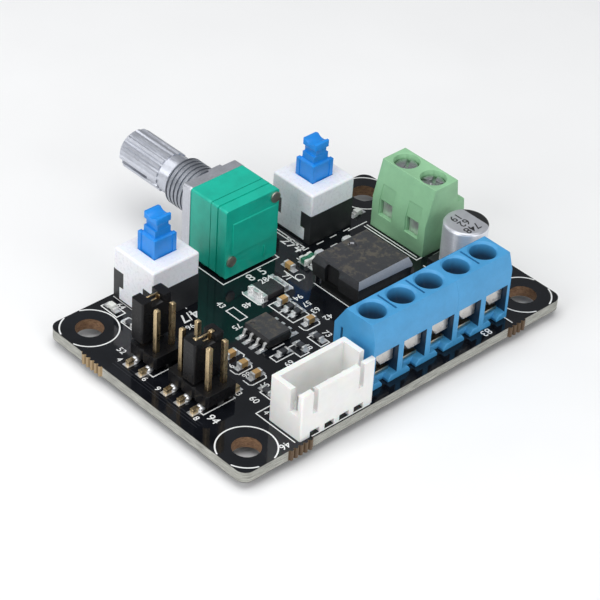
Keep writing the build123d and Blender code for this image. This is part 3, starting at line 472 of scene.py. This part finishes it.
def strip(bm, points, width, z, closed=False):
    """Flat mitred line through points given in millimetres."""
    corners = [Vector(p) for p in points]
    count = len(corners)
    left = []
    right = []
    for index, here in enumerate(corners):
        before = corners[index - 1] if closed or index else here
        after = corners[(index + 1) % count] if closed or index < count - 1 else here
        into = (here - before).normalized() if (here - before).length else (after - here).normalized()
        out = (after - here).normalized() if (after - here).length else into
        tangent = (into + out).normalized()
        across = Vector((-tangent.y, tangent.x))
        stretch = 1 / max(SHARPEST_MITRE, across.dot(Vector((-into.y, into.x))))
        offset = across * width / 2 * stretch
        left.append(bm.verts.new(((here + offset).x * MM, (here + offset).y * MM, z)))
        right.append(bm.verts.new(((here - offset).x * MM, (here - offset).y * MM, z)))
    for index in range(count if closed else count - 1):
        after = (index + 1) % count
        bm.faces.new((left[index], right[index], right[after], left[after]))


def box_points(x0, x1, y0, y1):
    """Corners of an outline."""
    return [(x0, y0), (x1, y0), (x1, y1), (x0, y1)]


FLOOR_SIZE = 1.5
FLOOR_Z = -1.32
SKY_COLOUR = (0.93, 0.96, 1.0, 1)
SKY_STRENGTH = 0.26
# Name, place and size in metres, and power in watts.
LIGHTS = [
    ("top_box", (-0.06, -0.02, 0.42), 0.42, 1.25),
    ("left_box", (-0.42, 0.02, 0.22), 0.30, 0.95),
    ("front_box", (-0.05, -0.42, 0.20), 0.30, 0.78),
    ("back_strip", (-0.16, 0.42, 0.26), 0.20, 0.3),
]
CAMERA_PLACE = (-0.17902, -0.17651, 0.19188)
CAMERA_RIGHT = (0.73276, -0.67839, 0.05335)
CAMERA_UP = (0.37694, 0.46992, 0.79818)
CAMERA_BACK = (-0.56655, -0.56477, 0.60005)
CAMERA_LENS = 143.85
CAMERA_SENSOR = 36


def floor():
    """Pale floor under the lead tails."""
    bm = bmesh.new()
    bmesh.ops.create_grid(bm, x_segments=1, y_segments=1, size=FLOOR_SIZE)
    mesh = bpy.data.meshes.new("floor")
    bm.to_mesh(mesh)
    bm.free()
    g = Graph("floor_pale")
    g.colour(g.mix(g.ramp(g.noise(0.02, 3), 0.3, 0.7), (0.86, 0.86, 0.86), (0.9, 0.9, 0.9)))
    g.set(Roughness=0.9)
    mesh.materials.append(g.material)
    thing = bpy.data.objects.new("floor", mesh)
    thing.location = (0, 0, FLOOR_Z * MM)
    bpy.context.scene.collection.objects.link(thing)


def lights():
    """Soft sky and four large lamps, each turned to the middle of the board."""
    world = bpy.data.worlds.new("studio")
    bpy.context.scene.world = world
    world.use_nodes = True
    sky = world.node_tree.nodes["Background"]
    sky.inputs[0].default_value = SKY_COLOUR
    sky.inputs[1].default_value = SKY_STRENGTH
    for name, place, size, power in LIGHTS:
        light = bpy.data.lights.new(name, "AREA")
        light.size = size
        light.energy = power
        lamp = bpy.data.objects.new(name, light)
        lamp.location = place
        lamp.rotation_euler = (Vector((0, 0, 0)) - Vector(place)).to_track_quat("-Z", "Y").to_euler()
        bpy.context.scene.collection.objects.link(lamp)


def camera():
    """Camera above the front left corner of the board."""
    lens = bpy.data.cameras.new("camera")
    lens.sensor_width = CAMERA_SENSOR
    lens.lens = CAMERA_LENS
    lens.clip_start = 0.01
    eye = bpy.data.objects.new("camera", lens)
    axes = (Vector(CAMERA_RIGHT), Vector(CAMERA_UP), Vector(CAMERA_BACK))
    rotation = Matrix(axes).transposed().to_4x4()
    eye.matrix_world = Matrix.Translation(Vector(CAMERA_PLACE)) @ rotation
    bpy.context.scene.collection.objects.link(eye)
    bpy.context.scene.camera = eye
    bpy.context.scene.view_settings.view_transform = "Standard"


SILK_Z = TOP + 0.012 * MM
SILK_LINE = 0.17
RING_RADIUS = 3.9
RING_STEPS = 96
RING_LINE = 0.2
RING_LIMIT_X = 28.46
RING_LIMIT_Y = 18.94
VIA_PLACE = (4.12, 6.35)
VIA_RADIUS = 0.62
VIA_STEPS = 21
VIA_TURN = 0.3
VIA_LINE = 0.12
# Closed outlines as x0, x1, y0, y1 and open lines as points, in millimetres.
SILK_BOXES = [
    (-20.6, -19.15, 14.8, 18.0), (-20.8, -19.4, 10.9, 13.7), (-8.6, -7.3, 4.15, 6.9),
    (-3.45, -0.55, -0.5, 4.3), (-10.7, -7.65, -5.25, -3.95), (-4.1, -2.55, -6.5, -3.95),
    (-7.6, -6.1, -6.4, -3.95), (-16.4, -15.0, -10.6, -8.4),
]
SILK_PATHS = [
    [(-18.0, 18.65), (-18.0, 10.45), (-14.5, 10.45)],
    [(-3.45, 2.25), (-0.55, 2.25)], [(-3.45, 0.85), (-0.55, 0.85)],
    [(-3.4, -1.5), (-3.4, -2.5), (-3.1, -2.85), (-0.9, -2.85), (-0.6, -2.5), (-0.6, -1.3)],
    [(-15.8, 0.45), (-13.0, 0.45), (-12.9, -1.5), (-13.3, -1.8)],
    [(-16.4, -2.7), (-16.4, -3.7), (-16.1, -4.1), (-13.9, -4.1), (-13.6, -3.7), (-13.6, -2.3)],
    [(-16.5, -5.3), (-16.5, -6.5), (-16.2, -6.8), (-13.9, -6.8), (-13.6, -6.4), (-13.6, -5.0), (-13.9, -4.6)],
    [(-24.9, 3.1), (-24.9, 2.35), (-21.9, 2.35)], [(-19.8, 5.8), (-17.6, 5.8)],
    [(-24.85, -6.6), (-24.85, -7.3), (-19.6, -7.3), (-19.6, -7.0)],
    [(-17.2, -11.2), (-19.6, -11.2), (-19.6, -18.4)], [(-17.2, -18.8), (-7.2, -18.8)],
    [(-12.1, 11.9), (-12.3, 10.5)], [(-9.35, -3.0), (-7.3, -3.0)],
    [(3.4, 8.75), (3.4, 5.75), (4.3, 5.75)],
    [(6.7, 9.8), (6.7, 6.55), (7.7, 6.55)],
    [(-5.05, 18.9), (-5.05, 11.45), (4.9, 11.45), (4.9, 12.4)],
    [(8.7, 18.6), (8.7, 10.5), (9.6, 10.5)], [(9.2, 18.6), (9.2, 11.0)],
    [(11.0, 10.4), (12.3, 10.4)], [(13.5, 10.4), (14.7, 10.4)], [(16.0, 10.4), (17.2, 10.4)],
    [(16.6, 10.05), (20.2, 10.05)], [(19.15, 9.5), (19.15, -0.75), (24.0, -0.75)],
    [(19.65, 9.5), (19.65, -0.3)], [(19.15, -17.2), (19.15, -18.65)],
    [(-4.1, 8.7), (-4.4, 8.3), (-4.4, 5.3), (-4.1, 4.95)], [(1.5, 4.95), (1.8, 5.3), (1.8, 8.3), (1.5, 8.7)],
    [(4.65, 4.2), (4.65, -3.2)], [(19.0, -2.2), (19.0, -7.0)],
]
# Digits only: text, x, y and height in millimetres, and the turn in degrees.
SILK_DIGITS = [
    ("274", 8.3, 12.4, 1.75, -90), ("64", -18.7, 16.3, 0.95, -90), ("52", -24.57, 9.0, 0.95, -90),
    ("4", -25.94, 7.75, 0.9, -90), ("6", -25.98, 2.7, 0.9, -90), ("9", -25.95, 0.2, 0.9, -90),
    ("8", -26.0, -7.25, 0.9, -90), ("4/7", -13.1, 9.15, 1.7, 180), ("96", -14.45, 7.33, 0.95, 180),
    ("43", -8.3, 8.3, 1.0, -90), ("75", -9.75, 3.5, 1.0, 180), ("3", -18.7, -7.0, 0.95, -90),
    ("94", -24.5, -8.7, 1.25, -90), ("60", -18.0, -9.1, 1.0, -90), ("97", -15.1, -7.7, 1.0, 180),
    ("86", -15.4, -4.75, 0.9, 180), ("9", -15.7, -2.15, 0.9, 180), ("4", -18.5, -11.9, 0.9, -90),
    ("46", -21.0, -18.0, 1.1, 180), ("57", 0.75, 1.45, 0.95, 180), ("63", 0.7, -0.3, 1.0, 180),
    ("94", 0.8, 3.2, 1.0, 180), ("42", 1.0, -2.4, 1.0, 180), ("73", -1.6, -5.0, 1.0, -90),
    ("48", -5.5, -5.4, 1.0, -90), ("69", -9.6, -6.4, 1.0, 180), ("8", -1.17, 10.33, 1.5, 0),
    ("5", 1.02, 10.41, 1.5, 0), ("71", 2.7, 7.4, 1.0, -90), ("83", 14.9, -17.85, 1.2, 180),
    ("48", -5.6, 6.2, 1.0, 180),
]
# Digits on the fuse, with their height above the board's underside, and dark ones along the can.
FUSE_DIGITS = ("284", -0.7, 7.9, 1.05, 2.505 * MM, 0)
CAN_DIGITS = [("748", -7.35), ("62", -5.8), ("19", -4.3)]
CAN_DIGITS_X = 22.1
CAN_DIGITS_HEIGHT = 1.3
CAN_DIGITS_Z = 9.31 * MM
FONT_PER_HEIGHT = 1.38
FONT_WEIGHT = 0.012


def digit_shape(bm, text, x, y, height, z, turn):
    """Adds flat digits centred at a point; a turn of -90 reads towards -Y."""
    curve = bpy.data.curves.new("digits", "FONT")
    curve.body = text
    curve.size = height * FONT_PER_HEIGHT * MM
    curve.align_x = "CENTER"
    curve.align_y = "CENTER"
    curve.resolution_u = 3
    curve.offset = FONT_WEIGHT * height * MM
    thing = bpy.data.objects.new("digits", curve)
    bpy.context.scene.collection.objects.link(thing)
    bpy.context.view_layer.update()
    mesh = bpy.data.meshes.new_from_object(thing)
    mesh.transform(Matrix.Translation((x * MM, y * MM, z)) @ Matrix.Rotation(math.radians(turn), 4, "Z"))
    bm.from_mesh(mesh)
    bpy.data.objects.remove(thing)
    bpy.data.curves.remove(curve)
    bpy.data.meshes.remove(mesh)


def hole_ring(bm, centre_x, centre_y):
    """Ring round a mounting hole, broken where it would pass the edge of the board."""
    run = []
    for step in range(RING_STEPS + 1):
        angle = 2 * math.pi * step / RING_STEPS
        x = centre_x + RING_RADIUS * math.cos(angle)
        y = centre_y + RING_RADIUS * math.sin(angle)
        if abs(x) < RING_LIMIT_X and abs(y) < RING_LIMIT_Y:
            run.append((x, y))
            continue
        if len(run) > 1:
            strip(bm, run, RING_LINE, SILK_Z)
        run = []
    if len(run) > 1:
        strip(bm, run, RING_LINE, SILK_Z)


def silkscreen():
    """White outlines and digits on the board."""
    bm = bmesh.new()
    for side_x in (-1, 1):
        for side_y in (-1, 1):
            hole_ring(bm, side_x * HOLE_X, side_y * HOLE_Y)
    for box in SILK_BOXES:
        strip(bm, box_points(*box), SILK_LINE, SILK_Z, True)
    for path in SILK_PATHS:
        strip(bm, path, SILK_LINE, SILK_Z)
    turns = [step * VIA_TURN for step in range(VIA_STEPS)]
    via = [(VIA_PLACE[0] + VIA_RADIUS * math.cos(turn), VIA_PLACE[1] + VIA_RADIUS * math.sin(turn))
           for turn in turns]
    strip(bm, via, VIA_LINE, SILK_Z, True)
    piece("silkscreen_lines", bm, M["silk"])
    bm = bmesh.new()
    for text, x, y, height, turn in SILK_DIGITS:
        digit_shape(bm, text, x, y, height, SILK_Z, turn)
    digit_shape(bm, *FUSE_DIGITS)
    piece("silkscreen_digits", bm, M["silk"])


def can_marking():
    """Dark digits on top of the can."""
    bm = bmesh.new()
    for text, y in CAN_DIGITS:
        digit_shape(bm, text, CAN_DIGITS_X, y, CAN_DIGITS_HEIGHT, CAN_DIGITS_Z, 180)
    piece("can_marking", bm, M["ink"])


HEADER_ROWS = [(-22.02, (6.24, 3.70)), (-21.95, (-1.09, -3.63, -6.17))]
FOOT_REACH = 2.45
FOOT_SOLDER = (0.72, 0.56, 0.60)
FOOT_SOLDER_Z = 0.22
FOOT_SOLDER_GAP = 0.005


def solder_feet():
    """Solder fillets over the ends of the surface-mounted header feet."""
    bm = bmesh.new()
    stretch = Matrix.Diagonal((*[radius * MM for radius in FOOT_SOLDER], 1))
    for centre, rows in HEADER_ROWS:
        for y in rows:
            for side in (-1, 1):
                blob = bmesh.ops.create_icosphere(bm, subdivisions=3, radius=1.0)["verts"]
                x = centre * MM + side * FOOT_REACH * MM
                place = Matrix.Translation((x, y * MM, TOP + FOOT_SOLDER_Z * MM))
                bmesh.ops.transform(bm, matrix=place @ stretch, verts=blob)
    for vert in bm.verts:
        vert.co.z = max(vert.co.z, TOP + FOOT_SOLDER_GAP * MM)
    for face in bm.faces:
        face.smooth = True
    piece("header_foot_solder", bm, M["solder"])


silkscreen()
can_marking()
solder_feet()
floor()
lights()
camera()
